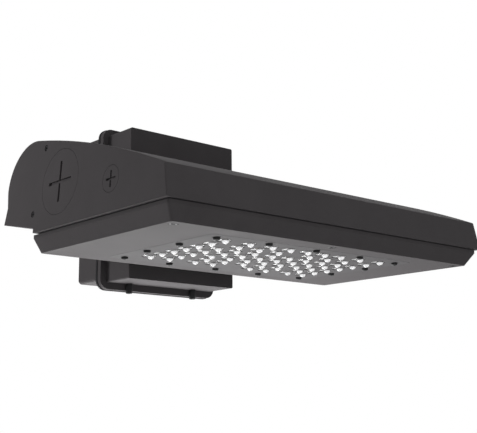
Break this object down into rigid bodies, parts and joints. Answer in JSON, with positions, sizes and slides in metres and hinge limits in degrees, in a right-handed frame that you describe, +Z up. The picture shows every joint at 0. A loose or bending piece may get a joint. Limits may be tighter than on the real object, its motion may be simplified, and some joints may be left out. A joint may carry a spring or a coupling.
{
  "type": "led wall pack",
  "caption": "Wall-mounted luminaire: sloped cast hood with cross-slot side plugs, a hinged lens door with clear domed optics below, and a box arm on a flanged wall box.",
  "frame": {"origin": "middle of the wall box's rear face, where it meets the wall", "axes": "+X along the wall to the right as seen from in front, +Y into the wall, +Z up; the door's front edge faces -Y"},
  "size_m": [0.459, 0.3685, 0.2036],
  "materials": {
    "painted_casting": "fine satin powder coat",
    "lens_plate": "satin grey",
    "optic": "clear moulded",
    "seal": "matt",
    "black_screw": "black oxide",
    "nylon": "moulded",
    "heat_sink": "as cast",
    "plated_steel": "zinc plated",
    "board": "white solder mask",
    "phosphor": "yellow phosphor",
    "driver_case": "moulded and potted",
    "surge_case": "moulded",
    "terminal_body": "moulded",
    "ground": "green dyed",
    "lead_line": "black insulation",
    "lead_neutral": "white insulation",
    "lead_earth": "green insulation"
  },
  "bodies": {
    "wall_unit": {"housing": "painted_casting", "mount_arm": "painted_casting", "back_box": "painted_casting", "large_plug_left": "painted_casting", "large_plug_right": "painted_casting", "small_plug_left": "painted_casting", "small_plug_right": "painted_casting", "conduit_plugs": "painted_casting", "arm_gasket": "seal", "box_gasket": "seal", "large_plug_seal_left": "seal", "large_plug_seal_right": "seal", "small_plug_seal_left": "seal", "small_plug_seal_right": "seal", "wire_bush": "seal", "side_screws": "black_screw", "lock_bolts": "black_screw", "gear_tray": "plated_steel", "hanger_plate": "plated_steel", "hanger_screws": "plated_steel", "arm_bolts": "plated_steel", "hinge_pin_left": "plated_steel", "hinge_pin_right": "plated_steel", "driver_screws": "plated_steel", "terminal_screws": "plated_steel", "driver": "driver_case", "surge_protector": "surge_case", "terminal_block": "terminal_body", "ground_screw": "ground", "driver_lead_line": "lead_line", "supply_lead_line": "lead_line", "driver_lead_neutral": "lead_neutral", "supply_lead_neutral": "lead_neutral", "driver_lead_earth": "lead_earth", "supply_lead_earth": "lead_earth"},
    "lens_door": {"door_frame": "painted_casting", "door_gasket": "seal", "lens_plate": "lens_plate", "optics": "optic", "lens_gasket": "seal", "lens_screws": "black_screw", "led_board": "board", "led_chips": "phosphor", "board_screws": "plated_steel", "heat_sink": "heat_sink", "heat_sink_screws": "plated_steel", "led_connector": "nylon"},
    "screw_left": {"door_screw_left": "black_screw", "screw_retainer_left": "nylon"},
    "screw_center": {"door_screw_center": "black_screw", "screw_retainer_center": "nylon"},
    "screw_right": {"door_screw_right": "black_screw", "screw_retainer_right": "nylon"}
  },
  "joints": [
    {"name": "door_hinge", "type": "hinge", "parent": "wall_unit", "child": "lens_door", "pos_m": [0, -0.122, -0.0686], "axis": [1, 0, 0], "range_deg": [0, 90]},
    {"name": "door_screw_left_slide", "type": "slide", "parent": "lens_door", "child": "screw_left", "axis": [0, 0, -1], "range_m": [0, 0.007]},
    {"name": "door_screw_center_slide", "type": "slide", "parent": "lens_door", "child": "screw_center", "axis": [0, 0, -1], "range_m": [0, 0.007]},
    {"name": "door_screw_right_slide", "type": "slide", "parent": "lens_door", "child": "screw_right", "axis": [0, 0, -1], "range_m": [0, 0.007]}
  ]
}
